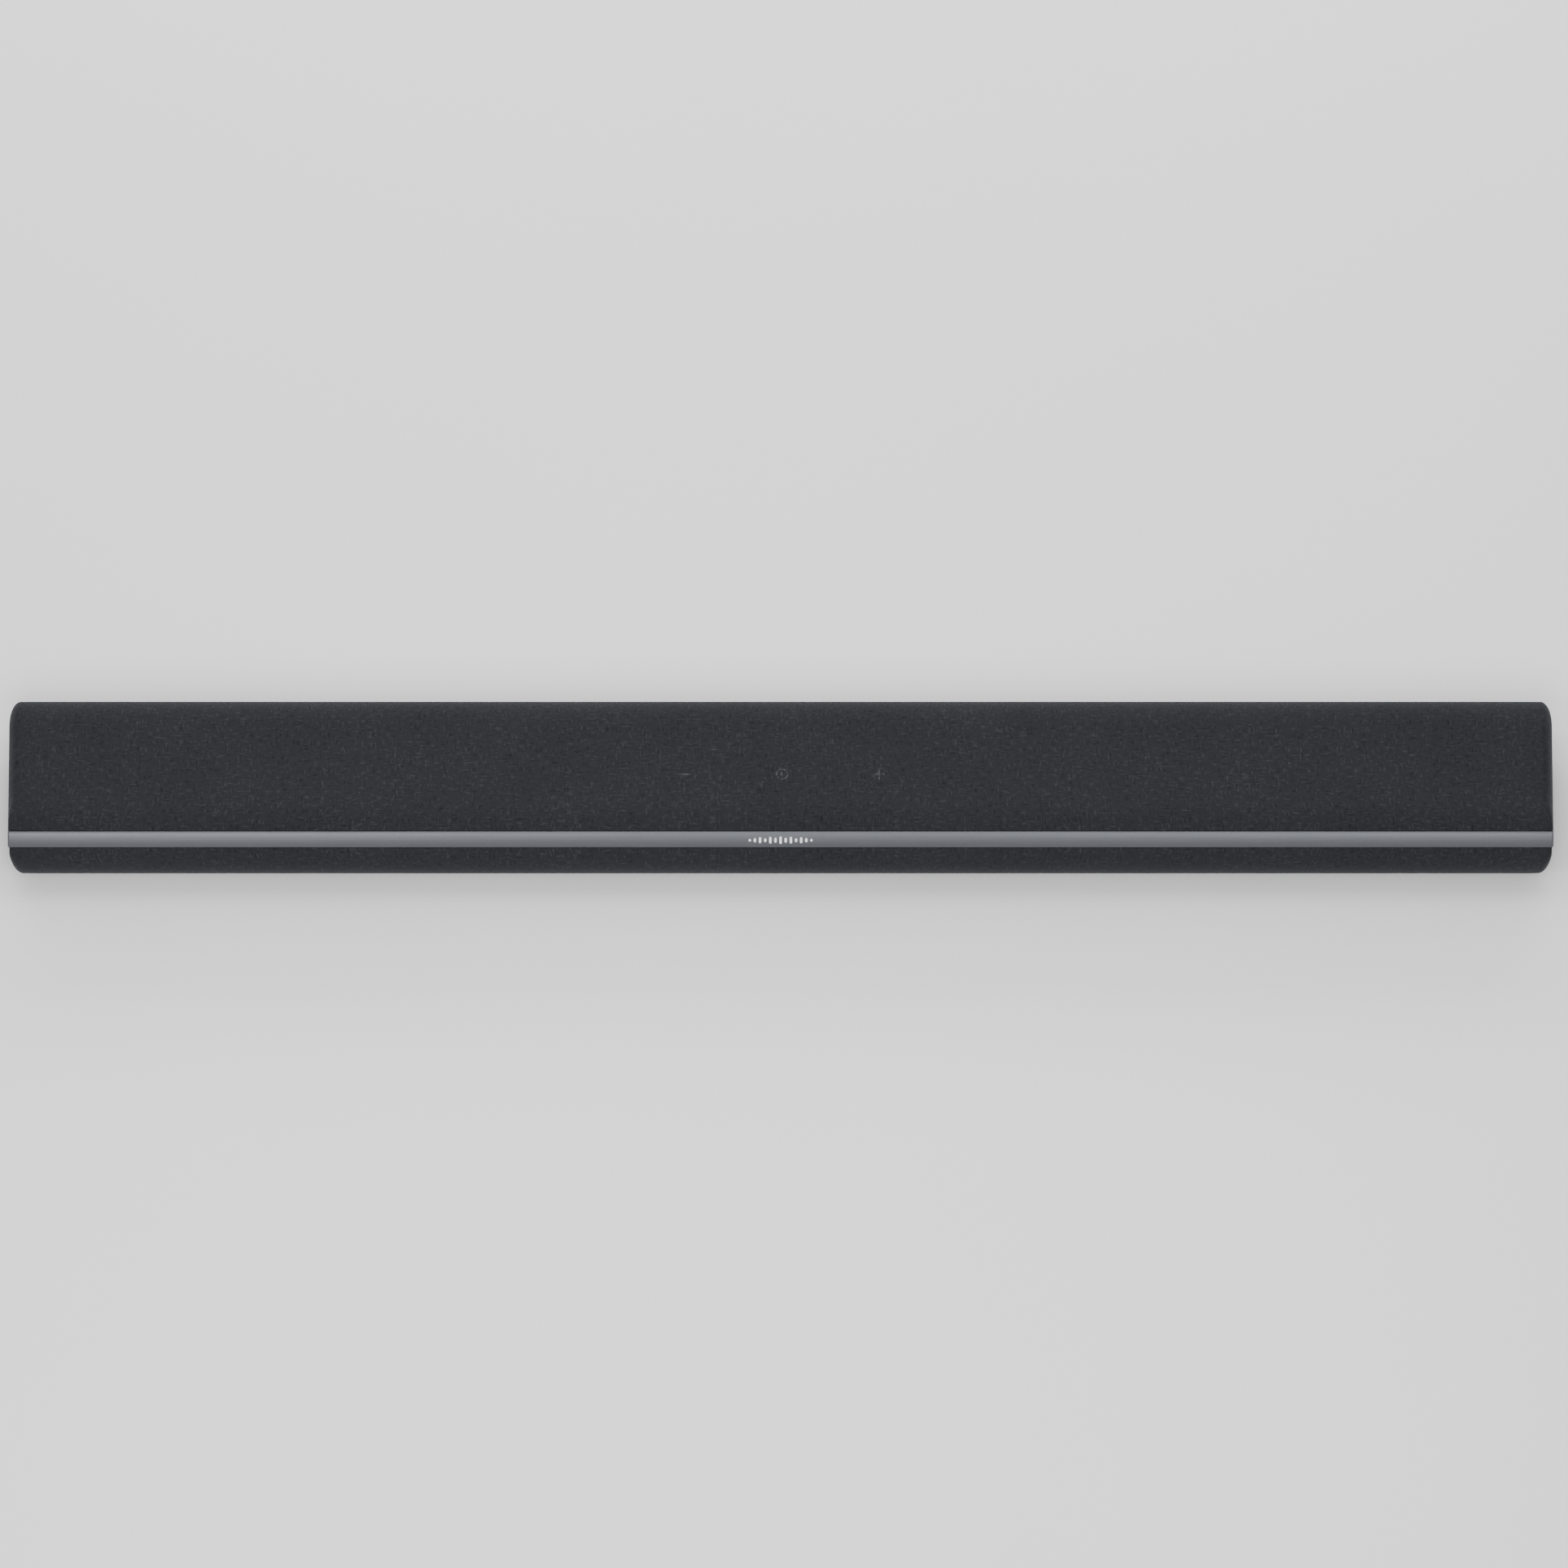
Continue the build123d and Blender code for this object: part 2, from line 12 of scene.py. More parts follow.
import bmesh
import bpy
import numpy as np
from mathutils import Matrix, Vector


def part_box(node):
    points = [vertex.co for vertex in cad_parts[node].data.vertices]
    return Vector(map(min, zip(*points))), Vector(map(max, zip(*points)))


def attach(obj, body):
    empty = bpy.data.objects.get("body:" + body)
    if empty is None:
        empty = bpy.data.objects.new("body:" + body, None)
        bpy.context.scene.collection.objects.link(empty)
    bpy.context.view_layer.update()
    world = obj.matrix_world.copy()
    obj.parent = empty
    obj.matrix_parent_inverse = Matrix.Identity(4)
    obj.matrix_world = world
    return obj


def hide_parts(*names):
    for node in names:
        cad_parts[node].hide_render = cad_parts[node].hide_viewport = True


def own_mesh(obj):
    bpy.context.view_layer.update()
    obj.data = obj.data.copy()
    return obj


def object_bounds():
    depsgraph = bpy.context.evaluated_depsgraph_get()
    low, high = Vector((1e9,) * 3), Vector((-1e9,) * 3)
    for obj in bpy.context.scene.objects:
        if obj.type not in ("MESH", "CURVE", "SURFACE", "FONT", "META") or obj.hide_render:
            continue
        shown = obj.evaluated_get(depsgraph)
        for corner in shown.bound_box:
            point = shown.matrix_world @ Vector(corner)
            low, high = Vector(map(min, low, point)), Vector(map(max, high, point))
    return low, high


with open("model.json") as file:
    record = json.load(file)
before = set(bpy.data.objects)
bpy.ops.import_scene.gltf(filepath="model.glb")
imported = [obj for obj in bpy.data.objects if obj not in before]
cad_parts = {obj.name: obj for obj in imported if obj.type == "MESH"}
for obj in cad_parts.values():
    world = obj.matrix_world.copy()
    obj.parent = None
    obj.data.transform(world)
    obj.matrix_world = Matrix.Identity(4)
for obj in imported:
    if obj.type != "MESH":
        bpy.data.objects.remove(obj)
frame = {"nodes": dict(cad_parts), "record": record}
CAD_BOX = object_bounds()

LOG = logging.getLogger("soundbar")
MM = 0.001
BODY = "enclosure"
HALVINGS = 44  # takes the bar's depth down past a rounding error


# ---- small helpers
def linear(code: str) -> tuple[float, float, float, float]:
    """Turn an sRGB hex colour into linear RGBA.

    Args:
        code: six hex digits after a hash.

    Returns:
        The linear colour with full alpha.
    """
    parts = [int(code[i:i + 2], 16) / 255 for i in (1, 3, 5)]
    red, green, blue = ((c / 12.92) if c <= 0.04045 else ((c + 0.055) / 1.055) ** 2.4
                        for c in parts)
    return (red, green, blue, 1.0)


def add(tree: bpy.types.NodeTree, kind: str, sockets: dict[Any, Any] | None = None,
        **settings: Any) -> bpy.types.Node:
    """Add a shader node with its settings, values and links.

    Args:
        tree: the material's node tree.
        kind: the node's type name, without "ShaderNode".
        sockets: input name or index to a value, or to the output socket that feeds it.
        settings: attributes of the node.

    Returns:
        The new node.
    """
    node = tree.nodes.new("ShaderNode" + kind)
    for name, value in settings.items():
        setattr(node, name, value)
    for name, value in (sockets or {}).items():
        if isinstance(value, bpy.types.NodeSocket):
            tree.links.new(value, node.inputs[name])
        else:
            node.inputs[name].default_value = value
    return node


def new_material(name: str) -> tuple[bpy.types.Material, bpy.types.NodeTree, bpy.types.Node]:
    """Make a material, and give it with its node tree and its surface shader."""
    material = bpy.data.materials.new(name)
    material.use_nodes = True
    tree = material.node_tree
    return material, tree, tree.nodes["Principled BSDF"]


def dress_shader(tree: bpy.types.NodeTree, shader: bpy.types.Node,
                 colour: bpy.types.NodeSocket, grain: bpy.types.NodeSocket,
                 rough: tuple[float, float], strength: float, depth: float) -> None:
    """Feed a shader its colour, and a roughness and a relief that follow one grain.

    Args:
        tree: the material's node tree.
        shader: the surface shader.
        colour: the base colour.
        grain: a noise value about 0.5.
        rough: roughness where the grain is low and where it is high.
        strength: how strongly the relief turns the light.
        depth: the relief's height, in metres.
    """
    spread = add(tree, "MapRange", {"Value": grain, "From Min": 0.3, "From Max": 0.7,
                                    "To Min": rough[0], "To Max": rough[1]})
    bump = add(tree, "Bump", {"Height": grain, "Strength": strength, "Distance": depth})
    tree.links.new(colour, shader.inputs["Base Color"])
    tree.links.new(spread.outputs[0], shader.inputs["Roughness"])
    tree.links.new(bump.outputs[0], shader.inputs["Normal"])


def make_mesh(name: str, points: np.ndarray, faces: np.ndarray,
              uv: np.ndarray | None = None) -> bpy.types.Object:
    """Make a mesh object from arrays and link it to the scene.

    Args:
        name: the piece's name.
        points: (n, 3) positions in the row frame.
        faces: (m, 4) corner indices, anticlockwise seen from outside.
        uv: (n, 2) surface coordinates in metres, if a pattern follows the surface.

    Returns:
        The object, at the origin.
    """
    mesh = bpy.data.meshes.new(name)
    mesh.from_pydata(points.tolist(), [], faces.tolist())
    if uv is not None:
        layer = mesh.uv_layers.new(name="thread")
        layer.data.foreach_set("uv", uv[faces.ravel()].astype(np.float32).ravel())
    mesh.polygons.foreach_set("use_smooth", np.ones(len(faces), bool))
    mesh.update()
    piece = bpy.data.objects.new(name, mesh)
    bpy.context.scene.collection.objects.link(piece)
    return piece


def grid_faces(rows: int, columns: int, keep: np.ndarray | None = None,
               close_rows: bool = False) -> np.ndarray:
    """Corner indices of a grid of quads, rows by columns points.

    Args:
        rows: points along the first parameter.
        columns: points along the second parameter.
        keep: which quads to make, as (rows - 1, columns - 1) booleans.
        close_rows: join the last row to the first.

    Returns:
        (m, 4) indices.
    """
    index = np.arange(rows * columns).reshape(rows, columns)
    if close_rows:
        index = np.vstack([index, index[:1]])
    quads = np.stack([index[:-1, :-1], index[:-1, 1:], index[1:, 1:], index[1:, :-1]], -1)
    if keep is not None:
        return quads[keep]
    return quads.reshape(-1, 4)


def join_grids(grids: list[np.ndarray]) -> tuple[np.ndarray, np.ndarray]:
    """Stack separate grids of points into one set of points and faces.

    Args:
        grids: (rows, columns, 3) points of each grid.

    Returns:
        (n, 3) points and (m, 4) corner indices.
    """
    faces = []
    start = 0
    for grid in grids:
        faces.append(grid_faces(*grid.shape[:2]) + start)
        start += grid.shape[0] * grid.shape[1]
    return np.concatenate([grid.reshape(-1, 3) for grid in grids]), np.concatenate(faces)


def tidy_mesh(piece: bpy.types.Object, merge: float = 1e-7) -> None:
    """Merge doubled points at poles and drop faces and edges left with no area.

    Args:
        piece: a mesh object.
        merge: points nearer than this are one, in metres.
    """
    work = bmesh.new()
    work.from_mesh(piece.data)
    bmesh.ops.remove_doubles(work, verts=work.verts, dist=merge)
    bmesh.ops.dissolve_degenerate(work, edges=work.edges, dist=merge)
    loose = [v for v in work.verts if not v.link_faces]
    bmesh.ops.delete(work, geom=loose, context="VERTS")
    bmesh.ops.recalc_face_normals(work, faces=work.faces)
    work.to_mesh(piece.data)
    work.free()


def thicken(piece: bpy.types.Object, thickness: float) -> None:
    """Give an open surface a wall on its inner side.

    Args:
        piece: a mesh object whose faces point outwards.
        thickness: the wall, in metres.
    """
    wall = piece.modifiers.new("wall", "SOLIDIFY")
    wall.thickness = thickness
    wall.offset = -1.0
    wall.use_rim = True


# ---- finishes
@dataclass(frozen=True)
class Finish:
    """A moulded, cast or coated surface: two close colours, a grain and a fine relief.

    The two colours follow a soft noise of the grain's size, which keeps the surface from
    looking like one flat colour; roughness and relief follow the same grain.
    """

    name: str
    base: str
    shade: str
    grain_mm: float
    rough: tuple[float, float]
    metallic: float = 0.0
    relief_mm: float = 0.02
    coat: float = 0.0
    stretch: tuple[float, float, float] = (1.0, 1.0, 1.0)

    def material(self) -> bpy.types.Material:
        """Build the node material."""
        material, tree, shader = new_material(self.name)
        place = add(tree, "TexCoord")
        turned = add(tree, "Mapping", {"Vector": place.outputs["Object"],
                                       "Scale": self.stretch})
        grain = add(tree, "TexNoise", {"Vector": turned.outputs[0],
                                       "Scale": 1 / (self.grain_mm * MM), "Detail": 3.0})
        cloud = add(tree, "TexNoise", {"Vector": place.outputs["Object"],
                                       "Scale": 0.04 / (self.grain_mm * MM), "Detail": 2.0})
        both = add(tree, "Math", {0: grain.outputs["Fac"], 1: cloud.outputs["Fac"],
                                  2: 0.22}, operation="MULTIPLY_ADD")
        mix = add(tree, "Mix", {"Factor": both.outputs[0], "A": linear(self.base),
                                "B": linear(self.shade)}, data_type="RGBA")
        dress_shader(tree, shader, mix.outputs[2], grain.outputs["Fac"], self.rough, 0.6,
                     self.relief_mm * MM)
        shader.inputs["Metallic"].default_value = self.metallic
        shader.inputs["Coat Weight"].default_value = self.coat
        return material


# What each carried-over piece is made of and how its surface was made.
FINISHES: dict[str, Finish] = {
    # ABS, spark-eroded mould: a fine even grain that scatters highlights
    "housing_plastic": Finish("ABS moulded, eroded grain", "#1B1C1E", "#232427", 0.9,
                              (0.48, 0.62), relief_mm=0.03),
    # silicone rubber, pressed: dull, with a trace of bloom
    "foot_rubber": Finish("silicone rubber pressed", "#1A1A1B", "#28282A", 1.4, (0.7, 0.9),
                          relief_mm=0.04),
    # brass, turned: fine rings and a warm sheen
    "brass": Finish("brass turned", "#B08A4A", "#C9A662", 0.25, (0.22, 0.38), 1.0, 0.01),
    # zinc-plated steel, cold headed: cool grey with a slight cloud
    "screw_steel": Finish("zinc plated steel", "#8A8D92", "#A4A6AA", 0.5, (0.28, 0.45), 1.0,
                          0.01),
    # steel sheet, powder coated: fine orange peel
    "panel_metal": Finish("steel sheet powder coated", "#1E1F21", "#2A2B2E", 0.6,
                          (0.5, 0.68), relief_mm=0.05),
    # PBT, moulded: smooth, faintly glossy
    "socket_plastic": Finish("PBT moulded", "#141416", "#1E1E20", 0.5, (0.32, 0.44),
                             relief_mm=0.01),
    # nickel-plated steel, pressed
    "socket_shell": Finish("nickel plated steel pressed", "#B4B3AE", "#C9C8C3", 0.4,
                           (0.2, 0.34), 1.0, 0.008),
    # glass-epoxy laminate under green solder mask: glossy with a cloth-like cloud
    "board_laminate": Finish("glass epoxy with solder mask", "#0E4A2E", "#14603B", 0.8,
                             (0.25, 0.4), relief_mm=0.015, coat=0.3),
    # epoxy moulding compound, matt black
    "chip_black": Finish("epoxy moulding compound", "#161618", "#222225", 0.3, (0.5, 0.65),
                         relief_mm=0.01),
    # PET shrink sleeve, glossy
    "capacitor_sleeve": Finish("PET shrink sleeve", "#1B1E33", "#262A44", 1.5, (0.18, 0.3),
                               coat=0.4),
    # aluminium, extruded: fine lines along the extrusion
    "heatsink_aluminium": Finish("aluminium extruded", "#A9ABAE", "#C0C2C4", 0.3,
                                 (0.32, 0.5), 1.0, 0.01, stretch=(1.0, 0.1, 1.0)),
    # tin-plated steel can
    "can_steel": Finish("tin plated steel can", "#A7A8A6", "#BDBEBC", 0.6, (0.25, 0.42), 1.0,
                        0.01),
    # varnished laminations wrapped in polyester tape
    "transformer_core": Finish("polyester tape over laminations", "#8C7420", "#A58B2E", 1.2,
                               (0.3, 0.5), coat=0.2),
    # ABS, polished mould
    "key_plastic": Finish("ABS moulded, polished", "#202124", "#2A2B2E", 0.7, (0.35, 0.5),
                          relief_mm=0.01),
    # glass-filled nylon: dull with streaks of fibre
    "baffle_board": Finish("glass filled nylon", "#1D1E20", "#2B2C2F", 0.7, (0.5, 0.7),
                           stretch=(0.3, 1.0, 1.0)),
    # nylon, natural
    "spacer_nylon": Finish("nylon moulded", "#C9C6BA", "#DAD7CC", 0.8, (0.4, 0.55)),
    # PVC insulation on stranded copper
    "lead_plastic": Finish("PVC insulation", "#7A1A18", "#8E2420", 0.9, (0.35, 0.5)),
    # polyester felt: soft, fibrous
    "damping_felt": Finish("polyester felt", "#8E8F92", "#A9AAAD", 0.6, (0.85, 0.98),
                           relief_mm=0.3),
    # pressed steel, black e-coat
    "basket_steel": Finish("pressed steel e-coated", "#151517", "#202023", 0.8, (0.35, 0.5),
                           relief_mm=0.01),
    # sintered ferrite: dull dark grey with pits
    "ferrite": Finish("sintered ferrite", "#2C2C2E", "#3A3A3D", 0.4, (0.55, 0.8), 0.2, 0.03),
    # paper pulp, coated: fibrous and matt
    "cone_pulp": Finish("paper pulp coated", "#1E1E20", "#2B2B2E", 0.7, (0.6, 0.8),
                        relief_mm=0.05),
    # butyl rubber roll
    "surround_rubber": Finish("butyl rubber moulded", "#161617", "#1F1F21", 0.9, (0.5, 0.65)),
    # PC/ABS, moulded
    "faceplate_plastic": Finish("PC ABS moulded", "#1A1B1D", "#242528", 0.8, (0.4, 0.55)),
    # silk, doped: fine weave under a tacky coat
    "dome_silk": Finish("doped silk", "#1C1C1F", "#29292D", 0.3, (0.4, 0.6), coat=0.2),
}


@dataclass(frozen=True)
class ClothFinish:
    """Heather polyester, woven from mixed dark and light yarn and stretched over the shells.

    Flecks of lighter and darker yarn run a few threads along the weft or the warp. The
    thread is drawn coarser than the real 0.4 mm so that it shows at the render's scale.
    A sheen on the fibre ends lightens edges that are seen at a low angle. Print on the
    cloth takes to the lighter yarn and is worn off in patches.
    """

    name: str = "polyester heather weave"
    ground: str = "#252629"
    light_yarn: str = "#34363B"
    dark_yarn: str = "#191A1D"
    thread_mm: float = 0.9
    fleck_mm: float = 1.5
    fleck_run: float = 3.6
    patch_mm: float = 5.0
    cloud_mm: float = 60.0
    wear_mm: float = 3.5
    relief_mm: float = 0.1
    roughness: float = 0.92
    specular: float = 0.12
    sheen: float = 0.06
    print_code: str | None = None

    def material(self) -> bpy.types.Material:
        """Build the node material on the piece's own surface coordinates."""
        material, tree, shader = new_material(self.name)
        surface = add(tree, "UVMap", uv_map="thread")
        weft = self.flecks(tree, surface, along_u=True)
        warp = self.flecks(tree, surface, along_u=False)
        relief, over = self.weave(tree, surface)
        patch = add(tree, "TexNoise", {"Vector": surface.outputs[0],
                                       "Scale": 1 / (self.patch_mm * MM), "Detail": 1.0})
        chosen = add(tree, "MapRange", {"Value": patch.outputs["Fac"], "From Min": 0.46,
                                        "From Max": 0.54})
        turn = add(tree, "Mix", {"Factor": 0.2, "A": chosen.outputs[0], "B": over})
        yarn = add(tree, "Mix", {"Factor": turn.outputs[0], "A": weft, "B": warp})
        cloud = add(tree, "TexNoise", {"Vector": surface.outputs[0],
                                       "Scale": 1 / (self.cloud_mm * MM), "Detail": 2.0})
        level = add(tree, "Math", {0: cloud.outputs["Fac"], 1: 0.16, 2: -0.08},
                    operation="MULTIPLY_ADD")
        tone = add(tree, "Math", {0: yarn.outputs[0], 1: level.outputs[0]}, operation="ADD")
        ramp = add(tree, "ValToRGB", {"Fac": tone.outputs[0]})
        stops = ramp.color_ramp.elements
        stops[0].position, stops[0].color = 0.3, linear(self.dark_yarn)
        stops[1].position, stops[1].color = 0.72, linear(self.light_yarn)
        for place in (0.45, 0.54):
            stop = stops.new(place)
            stop.color = linear(self.ground)
        colour = ramp.outputs["Color"]
        if self.print_code:
            wear = add(tree, "TexNoise", {"Vector": surface.outputs[0],
                                          "Scale": 1 / (self.wear_mm * MM),
                                          "Detail": 1.0})
            patchy = add(tree, "Math", {0: yarn.outputs[0], 1: wear.outputs["Fac"]},
                         operation="MULTIPLY")
            broken = add(tree, "MapRange", {"Value": patchy.outputs[0], "From Min": 0.17,
                                            "From Max": 0.29, "To Min": 0.15, "To Max": 1.0})
            inked = add(tree, "Mix", {"Factor": broken.outputs[0], "A": colour,
                                      "B": linear(self.print_code)}, data_type="RGBA")
            colour = inked.outputs[2]
        bump = add(tree, "Bump", {"Height": relief, "Strength": 0.55,
                                  "Distance": self.relief_mm * MM})
        tree.links.new(colour, shader.inputs["Base Color"])
        tree.links.new(bump.outputs[0], shader.inputs["Normal"])
        shader.inputs["Roughness"].default_value = self.roughness
        shader.inputs["Specular IOR Level"].default_value = self.specular
        shader.inputs["Sheen Weight"].default_value = self.sheen
        shader.inputs["Sheen Roughness"].default_value = 0.45
        shader.inputs["Sheen Tint"].default_value = linear("#D8DCE4")
        return material

    def flecks(self, tree: bpy.types.NodeTree, surface: bpy.types.Node,
               along_u: bool) -> bpy.types.NodeSocket:
        """Yarn tone that stays the same for a few threads along one direction.

        Args:
            tree: the node tree.
            surface: the surface coordinates.
            along_u: true for the weft, which runs along the bar.

        Returns:
            A value from 0, dark yarn, to 1, light yarn.
        """
        short = 1 / (self.fleck_mm * MM)
        long = short / self.fleck_run
        scale = (long, short, 1.0) if along_u else (short, long, 1.0)
        offset = (0.0, 0.0, 0.0) if along_u else (37.0, 11.0, 5.0)
        place = add(tree, "Mapping", {"Vector": surface.outputs[0], "Scale": scale,
                                      "Location": offset})
        noise = add(tree, "TexNoise", {"Vector": place.outputs[0], "Scale": 1.0,
                                       "Detail": 2.0, "Roughness": 0.6})
        return noise.outputs["Fac"]

    def weave(self, tree: bpy.types.NodeTree, surface: bpy.types.Node
              ) -> tuple[bpy.types.NodeSocket, bpy.types.NodeSocket]:
        """Plain weave: each thread rises and falls as a sine, and threads pass in turn.

        Args:
            tree: the node tree.
            surface: the surface coordinates.

        Returns:
            The height of the upper thread, and 1 where the warp is on top, else 0.
        """
        turns = math.pi / (self.thread_mm * MM)
        axes = add(tree, "SeparateXYZ", {"Vector": surface.outputs[0]})
        waves = []
        for axis in (0, 1):
            phase = add(tree, "Math", {0: axes.outputs[axis], 1: turns},
                        operation="MULTIPLY")
            waves.append(add(tree, "Math", {0: phase.outputs[0]}, operation="SINE"))
        both = add(tree, "Math", {0: waves[0].outputs[0], 1: waves[1].outputs[0]},
                   operation="MULTIPLY")
        over = add(tree, "Math", {0: both.outputs[0], 1: 0.0}, operation="GREATER_THAN")
        height = add(tree, "Math", {0: both.outputs[0]}, operation="ABSOLUTE")
        return height.outputs[0], over.outputs[0]


@dataclass(frozen=True)
class AnodisedFinish:
    """Aluminium strip, bead blasted and anodised grey: a soft satin with a fine sparkle."""

    name: str = "aluminium blasted and anodised"
    base: str = "#5E6064"
    shade: str = "#66686D"
    grit_mm: float = 0.35
    relief_mm: float = 0.01
    line_mm: float = 1.2
    rough: tuple[float, float] = (0.42, 0.52)
    metallic: float = 0.85

    def material(self) -> bpy.types.Material:
        """Build the node material."""
        material, tree, shader = new_material(self.name)
        place = add(tree, "TexCoord")
        grit = add(tree, "TexNoise", {"Vector": place.outputs["Object"],
                                      "Scale": 1 / (self.grit_mm * MM), "Detail": 2.0})
        drawn = add(tree, "Mapping", {"Vector": place.outputs["Object"],
                                      "Scale": (0.03, 1.0, 1.0)})
        lines = add(tree, "TexNoise", {"Vector": drawn.outputs[0],
                                       "Scale": 1 / (self.line_mm * MM), "Detail": 2.0})
        mix = add(tree, "Mix", {"Factor": lines.outputs["Fac"], "A": linear(self.base),
                                "B": linear(self.shade)}, data_type="RGBA")
        dress_shader(tree, shader, mix.outputs[2], grit.outputs["Fac"], self.rough, 0.25,
                     self.relief_mm * MM)
        shader.inputs["Metallic"].default_value = self.metallic
        return material


# ---- the bar's form
@dataclass(frozen=True)
class DomedEnd:
    """An end of the bar: a flat middle that rounds over on an elliptical corner.

    Beside the strip's front corner the cloth's corner is crisp, and it grows to its full
    size with the distance from there.
    """

    half: float
    run_x: float
    run_in: float
    crisp: float = 1.2 * MM
    blend: float = 28 * MM


@dataclass
class BarShape:
    """The bar's section, a stadium, and the tilted plane that parts its two shells."""

    length: float = CAD_BOX[1][0] - CAD_BOX[0][0]
    depth: float = CAD_BOX[1][1] - CAD_BOX[0][1]
    height: float = CAD_BOX[1][2] - CAD_BOX[0][2]
    foot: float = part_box("rubber_feet")[1][2]
    tilt: float = math.radians(22.4)
    trim_low: float = -5.4 * MM
    trim_high: float = 4.95 * MM
    radius: float = field(init=False)
    nose_y: float = field(init=False)
    mid_z: float = field(init=False)

    def __post_init__(self) -> None:
        """Work out the section's radius and centres."""
        self.radius = (self.height - self.foot) / 2
        self.nose_y = self.depth / 2 - self.radius
        self.mid_z = self.foot + self.radius

    @property
    def rearward(self) -> np.ndarray:
        """Direction of the parting plane towards the rear, as (y, z)."""
        return np.array([math.cos(self.tilt), -math.sin(self.tilt)])

    @property
    def normal(self) -> np.ndarray:
        """Upward normal of the parting plane, as (y, z)."""
        return np.array([math.sin(self.tilt), math.cos(self.tilt)])

    def depth_of(self, y: np.ndarray, z: np.ndarray) -> np.ndarray:
        """Distance from the section's middle line, which joins the two nose centres."""
        return np.hypot(np.maximum(np.abs(y) - self.nose_y, 0.0), z - self.mid_z)

    def reach(self, centre: np.ndarray, way: np.ndarray, radius: np.ndarray) -> np.ndarray:
        """How far a ray runs inside the section.

        The distance is halved again and again between zero and the bar's depth until the
        ray's end lies on the outline.

        Args:
            centre: the ray's start, as (y, z).
            way: (..., 2) unit directions.
            radius: (...) outline radius for each ray.

        Returns:
            (...) lengths.
        """
        low = np.zeros(way.shape[:-1])
        high = np.full(way.shape[:-1], self.depth)
        for _ in range(HALVINGS):
            middle = (low + high) / 2
            ends = centre + middle[..., None] * way
            inside = self.depth_of(ends[..., 0], ends[..., 1]) < radius
            low = np.where(inside, middle, low)
            high = np.where(inside, high, middle)
        return low

    def end_x(self, end: DomedEnd, depth: np.ndarray, inset: np.ndarray,
              full: np.ndarray) -> np.ndarray:
        """Place of the domed end along X: flat, then a quarter of an ellipse.

        Args:
            end: the end's form.
            depth: distance from the section's middle line.
            inset: how far the surface lies below its true place.
            full: share of the ellipse's full size, from 0, a crisp corner, to 1.

        Returns:
            Distances from the bar's middle.
        """
        run_x = end.crisp + full * (end.run_x - end.crisp)
        run_in = end.crisp + full * (end.run_in - end.crisp)
        share = np.clip((depth - self.radius + run_in + inset) / run_in, 0.0, 1.0)
        return end.half - inset - run_x * (1 - np.sqrt(1 - share ** 2))


class Side(Enum):
    """Which shell a cloth covers."""

    UPPER = 1
    LOWER = -1


def hem_drop(distance: np.ndarray, roll: float) -> np.ndarray:
    """How far cloth sinks near an edge: a quarter circle of the roll's radius."""
    gap = np.clip(roll - distance, 0.0, roll)
    return roll - np.sqrt(np.maximum(roll ** 2 - gap ** 2, 0.0))


@dataclass
class Window:
    """A cut in a cloth, bounded along X and by a range of rows."""

    half_x: float
    first: float
    last: float


